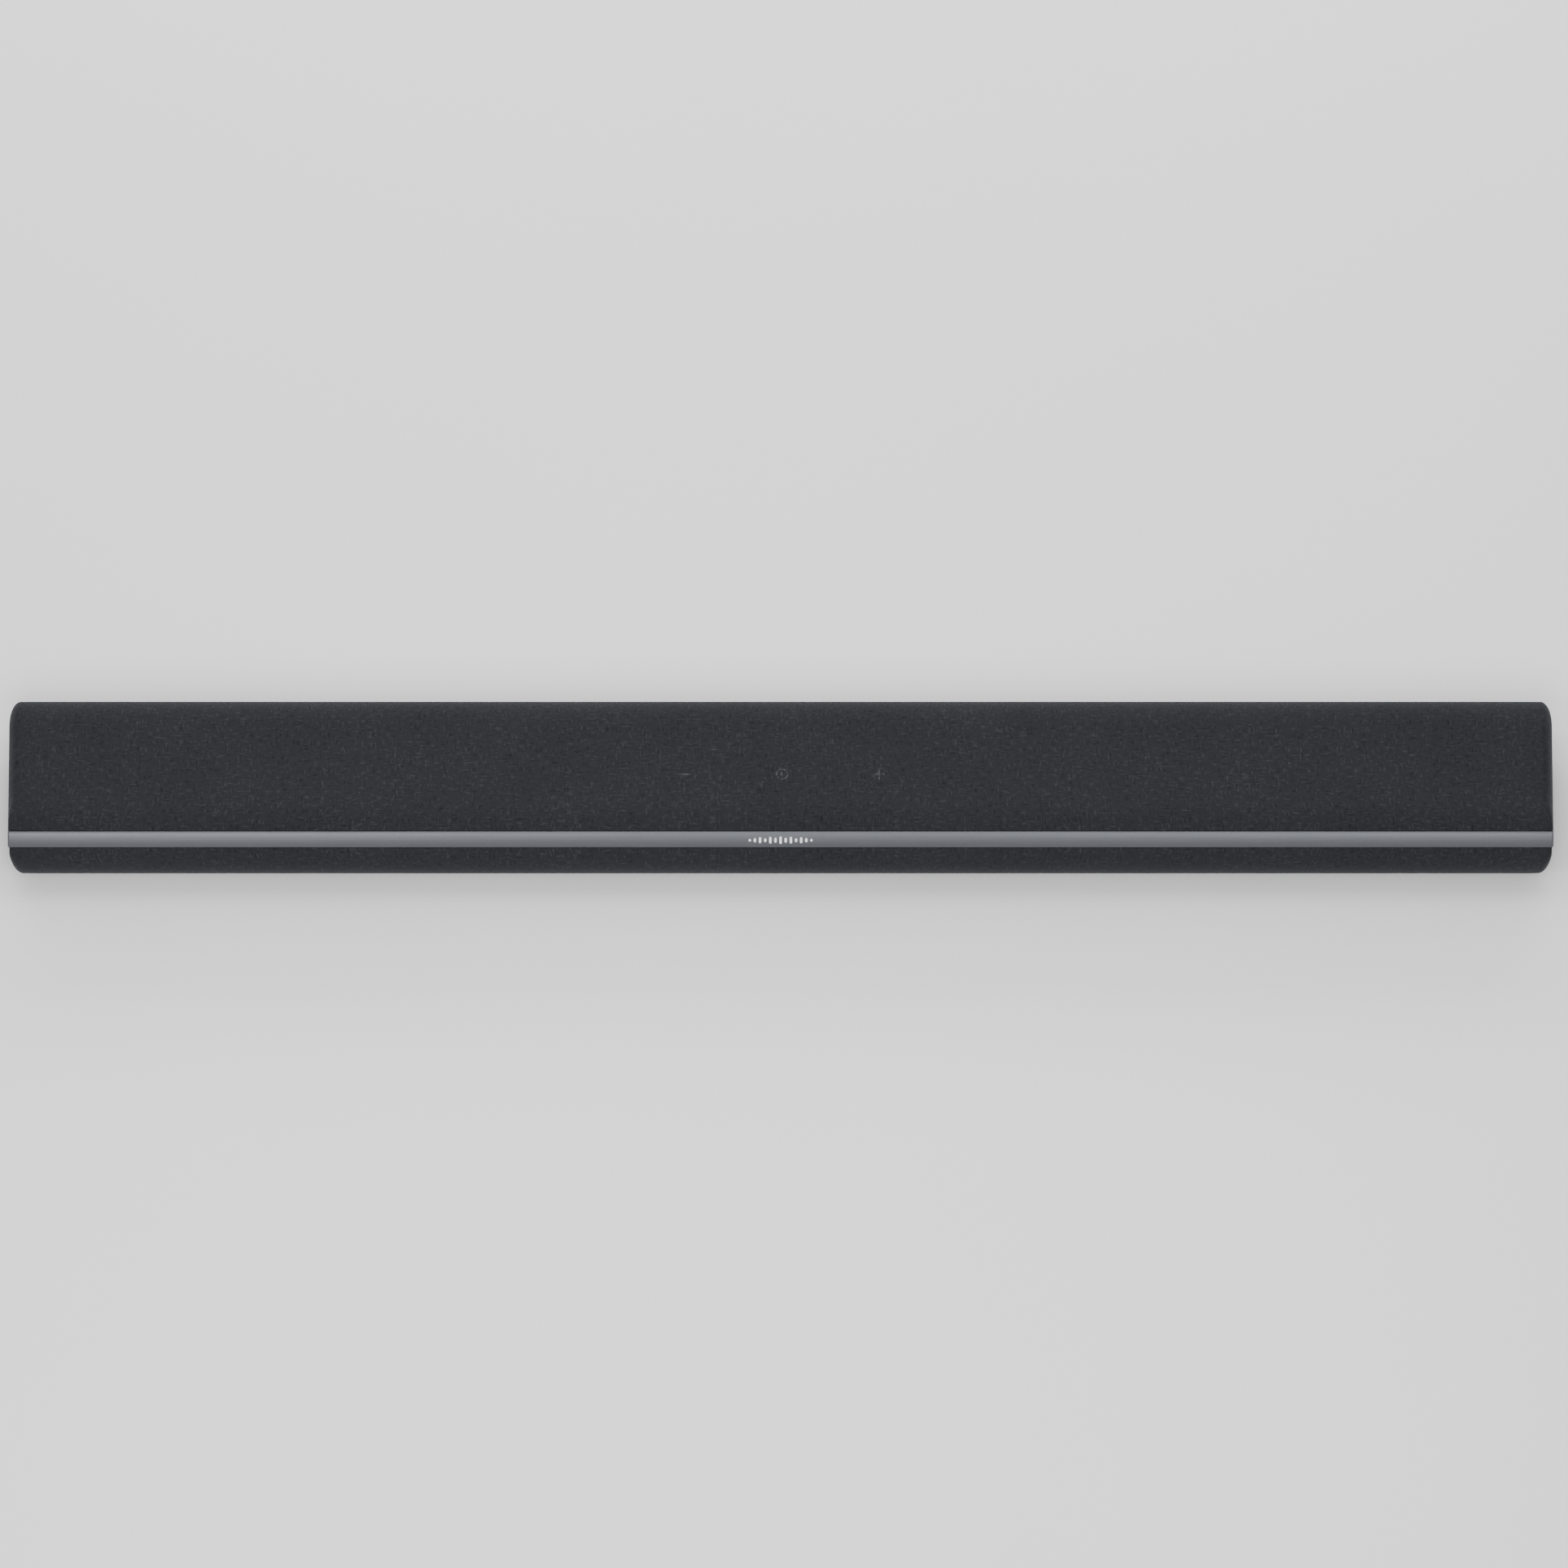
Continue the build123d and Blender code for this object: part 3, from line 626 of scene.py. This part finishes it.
@dataclass
class ClothWrap:
    """One cloth, stretched over a shell and tucked in at every edge.

    The surface has two parameters. The first is the angle of a ray, in the section, from
    the middle of the parting line out to the outline; it sweeps from the front edge to
    the rear edge. The second runs from the middle of one domed end, out to its rim, along
    the bar, and in to the middle of the other end. On an end, the place along X follows
    from the distance to the section's middle line.
    """

    name: str
    node: str
    side: Side
    level: float
    end: DomedEnd
    shape: BarShape
    window: Window | None = None
    roll: float = 0.8 * MM
    thickness: float = 0.7 * MM
    hem_steps: tuple[float, ...] = (0.0, 0.08, 0.22, 0.45, 0.8, 1.3, 2.2)
    first_row: float = 0.06
    row_count: int = 96
    cap_count: int = 34
    bar_count: int = 81
    flat_size: tuple[float, float] = field(init=False)
    top_line: tuple[np.ndarray, np.ndarray] = field(init=False)

    @property
    def centre(self) -> np.ndarray:
        """Middle of the cloth's parting line, as (y, z)."""
        return np.array([0.0, self.shape.mid_z]) + self.level * self.shape.normal

    @property
    def mean_ray(self) -> float:
        """A typical ray's length, which turns a step along the surface into an angle."""
        return 1.8 * self.shape.nose_y

    @property
    def straight(self) -> float:
        """Half the length of the bar's straight run."""
        return self.end.half - self.end.run_x

    def ways(self, angles: np.ndarray) -> np.ndarray:
        """Unit directions of the rays, as (..., 2)."""
        ahead = -self.shape.rearward
        up = self.side.value * self.shape.normal
        return np.cos(angles)[..., None] * ahead + np.sin(angles)[..., None] * up

    def angle_at(self, y: float, z: float) -> float:
        """Angle of the ray that passes through a point of the section."""
        away = np.array([y, z]) - self.centre
        along = float(-(away @ self.shape.rearward))
        across = float(self.side.value * (away @ self.shape.normal))
        return math.atan2(across, along)

    def rows(self) -> np.ndarray:
        """Angles of the rows, crowded together at the hems and window edges."""
        hems = np.array(self.hem_steps) * MM / self.mean_ray
        inner = self.first_row
        marks = [hems, math.pi - hems, np.linspace(inner, math.pi - inner, self.row_count)]
        if self.window:
            for mark in (self.window.first, self.window.last):
                if 0.0 < mark < math.pi:
                    marks += [mark - hems, mark + hems]
        angles = np.unique(np.round(np.concatenate(marks), 7))
        return angles[(angles >= 0) & (angles <= round(math.pi, 7))]

    def columns(self) -> tuple[np.ndarray, np.ndarray, np.ndarray]:
        """Share of the ray, place along X and side of the bar for every column."""
        arc = np.sin(np.linspace(0.0, math.pi / 2, self.cap_count))
        straight = self.straight
        marks = [np.linspace(-straight, straight, self.bar_count)]
        if self.window:
            steps = np.array(self.hem_steps) * MM
            for sign in (-1, 1):
                marks += [sign * (self.window.half_x + steps),
                          sign * (self.window.half_x - steps)]
        along = np.unique(np.round(np.concatenate(marks), 7))
        along = along[np.abs(along) <= straight + 1e-9]
        share = np.concatenate([arc[:-1], np.ones(len(along)), arc[:-1][::-1]])
        place = np.concatenate([np.full(len(arc) - 1, -straight), along,
                                np.full(len(arc) - 1, straight)])
        cap = np.concatenate([-np.ones(len(arc) - 1), np.zeros(len(along)),
                              np.ones(len(arc) - 1)])
        return share, place, cap

    def build(self) -> bpy.types.Object:
        """Work out the surface and make the piece."""
        shape = self.shape
        angles = self.rows()
        share, place, cap = self.columns()
        ways = self.ways(np.repeat(angles[:, None], len(share), 1))
        full = shape.reach(self.centre, ways, np.full(ways.shape[:2], shape.radius))
        from_edge = share * full * np.sin(angles)[:, None]
        in_window = np.zeros(ways.shape[:2], bool)
        if self.window:
            inside_x = self.window.half_x - np.abs(place)[None, :]
            arc = (np.minimum(angles - self.window.first, self.window.last - angles)[:, None]
                   * full)
            gap = np.hypot(np.minimum(inside_x, 0.0), np.minimum(arc, 0.0))
            on_bar = (cap == 0)[None, :]
            in_window = (inside_x > -1e-6) & (arc > -1e-6) & on_bar
            from_edge = np.where(on_bar, np.minimum(from_edge, gap), from_edge)
        drop = hem_drop(from_edge, self.roll)
        reach = shape.reach(self.centre, ways, shape.radius - drop)
        flat = self.centre + (share * reach)[..., None] * ways
        depth = shape.depth_of(flat[..., 0], flat[..., 1])
        front_edge = self.centre + full[0, 0] * ways[0, 0]
        off = np.linalg.norm(flat - front_edge, axis=-1)
        step = np.clip(off / self.end.blend, 0.0, 1.0)
        full_size = step ** 2 * (3 - 2 * step)
        end = shape.end_x(self.end, depth, drop, full_size)
        middle = len(cap) // 2
        rim = shape.end_x(self.end, shape.radius, 0.0, full_size[:, middle, None])
        x = np.where(cap == 0, place / self.straight * rim, cap * end)
        points = np.stack([x, flat[..., 0], flat[..., 1]], -1)

        outline = self.centre + full[:, :1, None] * ways[:, :1]
        steps = np.linalg.norm(np.diff(outline[:, 0], axis=0), axis=1)
        length = np.concatenate([[0.0], np.cumsum(steps)])
        self.top_line = (outline[:, 0, 0], length)
        across = np.repeat(length[:, None], len(share), 1)
        along = np.where(cap == 0, place, cap * (self.end.half + full * (1 - share)))
        uv = np.stack([along, across], -1)

        keep = ~(in_window[:-1, :-1] & in_window[1:, 1:] & in_window[:-1, 1:]
                 & in_window[1:, :-1])
        faces = grid_faces(*points.shape[:2], keep=keep)
        if self.side is Side.LOWER:
            faces = faces[:, ::-1]
        piece = make_mesh(self.name, points.reshape(-1, 3), faces, uv.reshape(-1, 2))
        tidy_mesh(piece)
        thicken(piece, self.thickness)
        self.flat_size = (float(length[-1]), float(2 * self.end.half))
        return piece


# ---- trim strip
@dataclass
class TrimStrip:
    """The metal strip: a shallow section with chamfered edges, carried round a path.

    At each level between its two edges the path starts on one end of the bar, turns the
    front corner on a small radius, runs along the front nose and turns the other corner.
    """

    shape: BarShape
    proud: float = 0.4 * MM
    depth: float = 1.5 * MM
    corner: float = 1.1 * MM
    least_corner: float = 0.15 * MM
    top_chamfer: float = 0.6 * MM
    low_chamfer: float = 0.3 * MM
    gap: float = 0.12 * MM
    split_angle: float = math.radians(24)
    ends_y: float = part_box("trim_band")[1][1]

    def profile(self) -> tuple[np.ndarray, np.ndarray]:
        """Levels and outward offsets of the section, from its inner top edge round."""
        low = self.shape.trim_low + self.gap
        high = self.shape.trim_high - self.gap
        face = np.linspace(high - self.top_chamfer, low + self.low_chamfer, 12)
        levels = np.concatenate([[high, high, high - 0.12 * MM], face,
                                 [low + 0.1 * MM, low, low]])
        outs = np.concatenate([[-self.depth, -0.5 * MM, -0.38 * MM], np.zeros(len(face)),
                               [-0.12 * MM, -0.25 * MM, -self.depth]])
        return levels, outs

    def front(self, levels: np.ndarray, outs: np.ndarray) -> np.ndarray:
        """Distance of the front face from the section's middle, along the parting plane."""
        shape = self.shape
        ring = shape.radius + self.proud + outs
        nose = np.array([-shape.nose_y, 0.0])
        nose_level = nose @ shape.normal
        nose_ahead = -(nose @ shape.rearward)
        return nose_ahead + np.sqrt(ring ** 2 - (levels - nose_level) ** 2)

    def build(self) -> bpy.types.Object:
        """Work out the strip's surface and make the piece."""
        shape = self.shape
        levels, outs = self.profile()
        front = self.front(levels, outs)
        half = shape.length / 2 + outs
        middle = np.array([0.0, shape.mid_z])
        start = middle + levels[:, None] * shape.normal
        end_run = (self.ends_y - start[:, 0]) / shape.rearward[0]
        radius = np.maximum(self.corner + outs, self.least_corner)
        along = np.linspace(0.0, 1.0, 12, endpoint=False)[:, None]
        turn = np.linspace(0.0, math.pi / 2, 9)[:, None]
        ahead = np.concatenate([-end_run + along * (front - radius + end_run),
                                front - radius + radius * np.sin(turn)])
        x = np.concatenate([np.repeat(half[None], len(along), 0),
                            half - radius + radius * np.cos(turn)])
        straight = np.linspace(1.0, -1.0, 60)[1:-1, None] * (half - radius)
        x = np.concatenate([x, straight, -x[::-1]])
        ahead = np.concatenate([ahead, np.repeat(front[None], len(straight), 0), ahead[::-1]])
        yz = start[None] - ahead[..., None] * shape.rearward
        points = np.stack([x, yz[..., 0], yz[..., 1]], -1).swapaxes(0, 1)
        rows, columns = points.shape[:2]
        faces = grid_faces(rows, columns, close_rows=True)
        piece = make_mesh("trim_strip", points.reshape(-1, 3), faces)
        self.close_ends(piece, rows, columns)
        tidy_mesh(piece)
        edges = piece.modifiers.new("shading", "EDGE_SPLIT")
        edges.split_angle = self.split_angle
        return piece

    def close_ends(self, piece: bpy.types.Object, rows: int, columns: int) -> None:
        """Put a face across each end of the tube."""
        work = bmesh.new()
        work.from_mesh(piece.data)
        work.verts.ensure_lookup_table()
        for column in (0, columns - 1):
            work.faces.new([work.verts[row * columns + column] for row in range(rows)])
        work.to_mesh(piece.data)
        work.free()

    def on_face(self, x: np.ndarray, level: np.ndarray, lift: float) -> np.ndarray:
        """Points on the strip's front face, lifted off it by a film's thickness."""
        ahead = self.front(level, np.full(level.shape, lift))
        yz = (np.array([0.0, self.shape.mid_z]) + level[..., None] * self.shape.normal
              - ahead[..., None] * self.shape.rearward)
        return np.stack([x, yz[..., 0], yz[..., 1]], -1)


def lozenge(width: float, height: float, rows: int = 9, columns: int = 9
            ) -> tuple[np.ndarray, np.ndarray]:
    """A bar with rounded ends, as a grid: the square disc rule scaled at its ends.

    Args:
        width: full width of the bar.
        height: full height; the shorter of the two gives the end radius.
        rows: points across.
        columns: points along.

    Returns:
        Two (rows, columns) arrays of places, centred on zero.
    """
    u, v = np.meshgrid(np.linspace(-1, 1, columns), np.linspace(-1, 1, rows))
    disc_x = u * np.sqrt(1 - v ** 2 / 2)
    disc_y = v * np.sqrt(1 - u ** 2 / 2)
    radius = min(width, height) / 2
    extra_x = width / 2 - radius
    extra_y = height / 2 - radius
    return (disc_x * radius + np.clip(u * 3, -1, 1) * extra_x,
            disc_y * radius + np.clip(v * 3, -1, 1) * extra_y)


@dataclass
class FrontMark:
    """A plain mark printed in the middle of the strip: a row of level bars, no letters."""

    strip: TrimStrip
    width: float = 43.6 * MM
    height: float = 4.9 * MM
    bar: float = 1.7 * MM
    lift: float = 0.03 * MM
    film: float = 0.05 * MM
    heights: tuple[float, ...] = (0.34, 0.55, 0.8, 0.5, 0.9, 0.66, 1.0, 0.66, 0.9, 0.5, 0.8,
                                  0.55, 0.34)

    def build(self) -> bpy.types.Object:
        """Lay the bars on the strip's face."""
        count = len(self.heights)
        pitch = (self.width - self.bar) / (count - 1)
        shape = self.strip.shape
        middle = (shape.trim_low + shape.trim_high) / 2
        grids = []
        for index, share in enumerate(self.heights):
            dx, dlevel = lozenge(self.bar, self.height * share)
            x = dx + (index - (count - 1) / 2) * pitch
            grids.append(self.strip.on_face(x, middle + dlevel, self.lift))
        piece = make_mesh("front_mark", *join_grids(grids))
        thicken(piece, self.film)
        return piece


# ---- keys
class KeyMark(Enum):
    """The sign printed over a key."""

    MINUS = "minus"
    SOURCE = "source"
    PLUS = "plus"


@dataclass
class KeyPad:
    """The cloth over one key: a low crown, and its mark."""

    mark: KeyMark
    cloth: ClothWrap
    radius: float = 13.0 * MM
    crown: float = 0.3 * MM
    sink: float = 0.12 * MM
    lift: float = 0.02 * MM
    film: float = 0.02 * MM
    print_lift: float = 0.03 * MM
    print_shift: float = 1.0 * MM
    line: float = 1.05 * MM
    sign: float = 8.2 * MM
    ring: tuple[float, float] = (3.3 * MM, 4.35 * MM)
    ring_bar: tuple[float, float] = (1.3 * MM, 3.4 * MM)
    ring_bar_shift: float = 0.4 * MM
    x: float = field(init=False)
    y: float = field(init=False)
    top: float = field(init=False)
    joint: str = field(init=False)

    def __post_init__(self) -> None:
        """Take the pad's place from the key's cap."""
        low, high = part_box(f"key_{self.mark.value}")
        self.x = (low[0] + high[0]) / 2
        self.y = (low[1] + high[1]) / 2
        self.top = CAD_BOX[1][2]
        self.joint = f"{self.mark.value}_key_press"

    def surface(self, dx: np.ndarray, dy: np.ndarray, lift: float) -> np.ndarray:
        """Points on the crown, which falls as (1 - radius squared) squared below the cloth."""
        share = np.clip(np.hypot(dx, dy) / self.radius, 0.0, 1.0) ** 2
        z = self.top + lift + (self.crown + self.sink) * (1 - share) ** 2 - self.sink
        return np.stack([self.x + dx, self.y + dy, z], -1)

    def thread_uv(self, points: np.ndarray) -> np.ndarray:
        """Surface coordinates that continue the cloth's own."""
        y, length = self.cloth.top_line
        order = np.argsort(y)
        return np.stack([points[:, 0], np.interp(points[:, 1], y[order], length[order])], -1)

    def finish_piece(self, piece: bpy.types.Object) -> bpy.types.Object:
        """Clean a film's mesh, give it its thickness and attach it to the body."""
        tidy_mesh(piece)
        thicken(piece, self.film)
        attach(piece, BODY)
        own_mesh(piece)
        return piece

    def build_pad(self) -> bpy.types.Object:
        """The crowned round of cloth."""
        radii = np.linspace(0.0, self.radius, 25)
        angles = np.linspace(0.0, 2 * math.pi, 65)
        r, a = np.meshgrid(radii, angles, indexing="ij")
        points = self.surface(r * np.cos(a), r * np.sin(a), self.lift).reshape(-1, 3)
        faces = grid_faces(len(radii), len(angles))
        piece = make_mesh(f"key_pad_{self.mark.value}", points, faces,
                          self.thread_uv(points))
        return self.finish_piece(piece)

    def strokes(self) -> list[tuple[np.ndarray, np.ndarray]]:
        """The mark's strokes, as grids of places about the key's centre."""
        level = lozenge(self.sign, self.line)
        if self.mark is KeyMark.MINUS:
            return [level]
        if self.mark is KeyMark.PLUS:
            arm = (self.sign - self.line) / 2
            x, y = lozenge(self.line, arm)
            shift = (self.line + arm) / 2
            return [level, (x, y + shift), (x, y - shift)]
        angle, r = np.meshgrid(np.linspace(0, 2 * math.pi, 49), np.linspace(*self.ring, 4))
        x, y = lozenge(*self.ring_bar)
        return [(r * np.cos(angle), r * np.sin(angle)), (x - self.ring_bar_shift, y)]

    def build_mark(self) -> bpy.types.Object:
        """The printed sign, lying on the crown."""
        points, faces = join_grids([
            self.surface(dx + self.print_shift, dy, self.lift + self.print_lift)
            for dx, dy in self.strokes()])
        piece = make_mesh(f"key_mark_{self.mark.value}", points, faces,
                          self.thread_uv(points))
        return self.finish_piece(piece)


# ---- studio
@dataclass(frozen=True)
class Panel:
    """A soft light panel that faces a point; it lights and reflects but isn't seen."""

    name: str
    place: tuple[float, float, float]
    size: tuple[float, float]
    power: float
    aim: tuple[float, float, float] = (0.0, 0.0, 0.03)

    def hang(self) -> None:
        """Add the light to the scene."""
        data = bpy.data.lights.new(self.name, "AREA")
        data.shape = "RECTANGLE"
        data.size, data.size_y = self.size
        data.energy = self.power
        light = bpy.data.objects.new(self.name, data)
        way = Vector(self.aim) - Vector(self.place)
        light.location = self.place
        light.rotation_euler = way.to_track_quat("-Z", "Y").to_euler()
        light.visible_camera = False
        bpy.context.scene.collection.objects.link(light)


# Two front panels that the strip mirrors from above its own slope, one overhead and one
# behind for the rear nose.
PANELS = (
    Panel("panel_left", (-0.5, -0.85, 1.1), (0.5, 0.5), 9.5, aim=(-0.4, 0.0, 0.03)),
    Panel("panel_right", (0.48, -0.85, 1.1), (0.35, 0.5), 6.5, aim=(0.4, 0.0, 0.03)),
    Panel("panel_top", (0.0, 0.2, 1.7), (1.6, 0.6), 8.0),
    Panel("panel_rear", (0.0, 1.1, 0.6), (2.4, 0.4), 14.0),
)


@dataclass
class Studio:
    """A pale floor, soft light and a long-lens camera that looks down on the bar."""

    elevation: float = math.radians(60.0)
    lens: float = 1400.0
    sensor: float = 36.0
    view_width: float = 1066.2 * MM
    aim_right: float = 2.3 * MM
    aim_up: float = 2.4 * MM
    floor_half: float = 6.0
    glow_low: float = 0.18
    glow_high: float = 0.85
    glow_rise: float = 0.75

    def camera(self, target: tuple[float, float, float]) -> None:
        """Place the camera."""
        distance = self.view_width * self.lens / self.sensor
        back = np.array([0.0, -math.cos(self.elevation), math.sin(self.elevation)])
        up = np.array([0.0, math.sin(self.elevation), math.cos(self.elevation)])
        aim = np.array(target) + self.aim_up * up + np.array([self.aim_right, 0.0, 0.0])
        data = bpy.data.cameras.new("camera")
        data.lens = self.lens
        data.sensor_width = self.sensor
        data.clip_start = 1.0
        data.clip_end = 2 * distance
        camera = bpy.data.objects.new("camera", data)
        camera.location = aim + distance * back
        camera.rotation_euler = (math.pi / 2 - self.elevation, 0.0, 0.0)
        bpy.context.scene.collection.objects.link(camera)
        bpy.context.scene.camera = camera

    def floor(self) -> None:
        """Lay the floor."""
        size = self.floor_half
        places = np.array([[-size, -size, 0], [size, -size, 0], [size, size, 0],
                           [-size, size, 0]], float)
        floor = make_mesh("studio_floor", places, np.array([[0, 1, 2, 3]]))
        floor.data.materials.append(Finish("paper backdrop", "#F2F2F2", "#F6F6F6", 8.0,
                                           (0.85, 0.95), relief_mm=0.0).material())

    def light(self) -> None:
        """Hang the light panels, and set a surrounding glow that fades to the horizon."""
        world = bpy.data.worlds.new("studio")
        world.use_nodes = True
        tree = world.node_tree
        way = add(tree, "SeparateXYZ", {"Vector": add(tree, "TexCoord").outputs["Generated"]})
        rise = add(tree, "MapRange", {"Value": way.outputs["Z"], "From Min": 0.0,
                                      "From Max": self.glow_rise, "To Min": self.glow_low,
                                      "To Max": self.glow_high},
                   interpolation_type="SMOOTHSTEP")
        tree.links.new(rise.outputs[0], tree.nodes["Background"].inputs["Strength"])
        tree.nodes["Background"].inputs["Color"].default_value = linear("#FFFFFF")
        bpy.context.scene.world = world
        for panel in PANELS:
            panel.hang()


# ---- assembly
@dataclass
class Soundbar:
    """The whole bar: cloths, strip, keys and the carried-over pieces."""

    shape: BarShape = field(default_factory=BarShape)
    upper_inset: float = 0.4 * MM
    upper_corner: tuple[float, float] = (8 * MM, 16 * MM)
    lower_inset: float = 1.0 * MM
    lower_corner: tuple[float, float] = (10 * MM, 16 * MM)
    base_half_y: float = 26 * MM
    base_margin_x: float = 20 * MM

    def dress_cloth(self, piece: bpy.types.Object, wrap: ClothWrap,
                    finish: bpy.types.Material) -> None:
        """Dress one cloth: give it its finish, attach it to the body and hide the CAD cloth it
        replaces.

        Args:
            piece: the cloth.
            wrap: what it was built from.
            finish: its material.
        """
        piece.data.materials.append(finish)
        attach(piece, BODY)
        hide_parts(wrap.node)

    def upper_window(self, wrap: ClothWrap) -> Window:
        """The opening for the connector bay, from the bay's roof down to the hem."""
        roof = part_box("bay_cheeks")
        high = roof[1][2]
        y = self.shape.nose_y + math.sqrt(self.shape.radius ** 2
                                          - (high - self.shape.mid_z) ** 2)
        return Window(roof[1][0], wrap.angle_at(y, high), 2 * math.pi)

    def lower_window(self, wrap: ClothWrap) -> Window:
        """The opening for the bare base."""
        return Window(self.shape.length / 2 - self.base_margin_x,
                      wrap.angle_at(-self.base_half_y, self.shape.foot),
                      wrap.angle_at(self.base_half_y, self.shape.foot))

    def build(self) -> None:
        """Make every piece that replaces a plain CAD one."""
        shape = self.shape
        cloth = ClothFinish().material()
        inked = ClothFinish(name="polyester heather weave, printed",
                            print_code="#434549").material()
        upper = ClothWrap("upper_cloth_wrap", "upper_cloth", Side.UPPER, shape.trim_high,
                          DomedEnd(shape.length / 2 - self.upper_inset, *self.upper_corner),
                          shape)
        upper.window = self.upper_window(upper)
        lower = ClothWrap("lower_cloth_wrap", "lower_cloth", Side.LOWER, shape.trim_low,
                          DomedEnd(shape.length / 2 - self.lower_inset, *self.lower_corner),
                          shape)
        lower.window = self.lower_window(lower)
        upper_piece = upper.build()
        for mark in KeyMark:
            pad = KeyPad(mark, upper)
            for piece, finish in ((pad.build_pad(), cloth), (pad.build_mark(), inked)):
                piece.data.materials.append(finish)
                LOG.info("%s: on %s", piece.name, upper_piece.name)
        self.dress_cloth(upper_piece, upper, cloth)
        self.dress_cloth(lower.build(), lower, cloth)
        strip = TrimStrip(shape)
        piece = strip.build()
        piece.data.materials.append(AnodisedFinish().material())
        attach(piece, BODY)
        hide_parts("trim_band")
        LOG.info("%s: %d points", piece.name, len(piece.data.vertices))
        mark_piece = FrontMark(strip).build()
        # screen-printed ink: flat white with a slight tooth
        mark_piece.data.materials.append(Finish("screen ink white", "#F1F2F4", "#F8F9FA", 0.5,
                                                (0.45, 0.6)).material())
        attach(mark_piece, BODY)

    def dress_frame(self) -> None:
        """Give every carried-over CAD piece its finish."""
        slots = {row["node"]: row["material_slot"] for row in frame["record"]["subparts"]}
        made = {slot: finish.material() for slot, finish in FINISHES.items()}
        dressed = 0
        for node, piece in frame["nodes"].items():
            if slots[node] not in made:
                continue
            for holder in piece.material_slots:
                holder.material = made[slots[node]]
            dressed += 1
        LOG.info("dressed %d carried-over pieces", dressed)


def main() -> None:
    """Build the bar and the studio."""
    logging.basicConfig(level=logging.INFO, format="%(name)s: %(message)s")
    studio = Studio()
    bar = Soundbar()
    studio.camera((0.0, 0.0, bar.shape.mid_z))
    bar.build()
    bar.dress_frame()
    studio.floor()
    studio.light()


if __name__ == "__main__":
    main()
